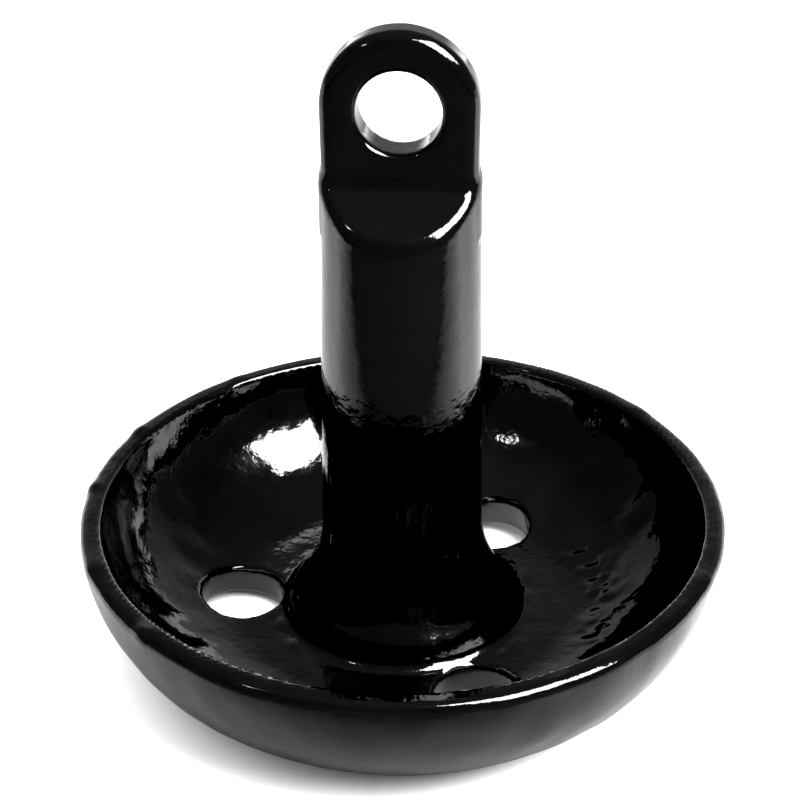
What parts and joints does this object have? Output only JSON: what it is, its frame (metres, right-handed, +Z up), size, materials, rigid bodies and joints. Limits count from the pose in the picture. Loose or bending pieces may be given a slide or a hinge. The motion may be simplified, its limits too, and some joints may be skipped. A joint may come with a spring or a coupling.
{
  "type": "mushroom anchor",
  "caption": "Vinyl-dipped cast-iron mushroom anchor: round shank with an eye plate on top, standing in a shallow bowl with drain holes.",
  "frame": {"origin": "centre of the flat foot, on the ground plane", "axes": "+Z up along the shank, Y along the eye bore, X across the eye plate's width"},
  "size_m": [0.19, 0.19, 0.1944],
  "materials": {
    "iron": "rough sand-cast surface",
    "vinyl": "glossy dipped vinyl with orange peel"
  },
  "bodies": {
    "root": {"iron_casting": "iron", "vinyl_coating": "vinyl"}
  },
  "joints": []
}
